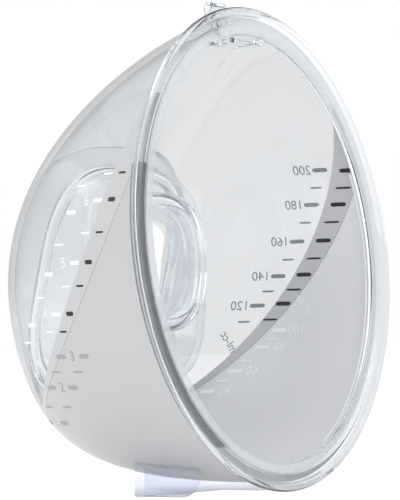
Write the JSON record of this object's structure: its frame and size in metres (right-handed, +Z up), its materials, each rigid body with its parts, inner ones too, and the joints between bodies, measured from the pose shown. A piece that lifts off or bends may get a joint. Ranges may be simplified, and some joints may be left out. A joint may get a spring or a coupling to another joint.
{
  "type": "breast pump milk container",
  "caption": "Clear domed milk container of a wearable breast pump, with front pump bay, ported floor, sealed rim, latch tab and a short standing foot.",
  "frame": {"origin": "on the ground under the middle of the bounding box; the container stands on its foot", "axes": "+Z up, +Y out of the open mouth towards the wearer, -Y out of the pump bay in the domed front, X left to right, mirror symmetric"},
  "size_m": [0.129, 0.0831, 0.1493],
  "materials": {
    "clear_shell": "polished clear copolyester",
    "tinted_shell": "smoky translucent copolyester",
    "seam_band": "smoky translucent copolyester, darker by its thickness",
    "clear_rim": "polished clear copolyester",
    "silicone": "clear moulded silicone",
    "clear_bay": "polished clear copolyester",
    "clear_lip": "polished clear copolyester",
    "clear_port": "polished clear copolyester, thick walled",
    "clear_foot": "polished clear copolyester",
    "clear_latch": "polished clear copolyester"
  },
  "bodies": {
    "container": {"front_panel": "clear_shell", "rear_shell": "tinted_shell", "seam_band": "seam_band", "rim_collar": "clear_rim", "bay_funnel": "clear_bay", "bay_lip": "clear_lip", "pump_bay": "clear_bay", "port_collar": "clear_port", "base_foot": "clear_foot", "latch_catch": "clear_latch"},
    "rim_gasket": {"rim_seal": "silicone"},
    "port_gasket": {"port_seal": "silicone"},
    "latch": {"latch_tab": "clear_latch"}
  },
  "joints": [
    {"name": "rim_seal_lift", "type": "slide", "parent": "container", "child": "rim_gasket", "axis": [0, 0.9962, 0.0872], "range_m": [0, 0.02]},
    {"name": "port_seal_lift", "type": "slide", "parent": "container", "child": "port_gasket", "axis": [0, 1, 0], "range_m": [0, 0.065]},
    {"name": "latch_flex", "type": "hinge", "parent": "container", "child": "latch", "pos_m": [0, 0.01675, 0.14145], "axis": [1, 0, 0], "range_deg": [0, 12], "stiffness_Nm_per_rad": 0.05}
  ]
}
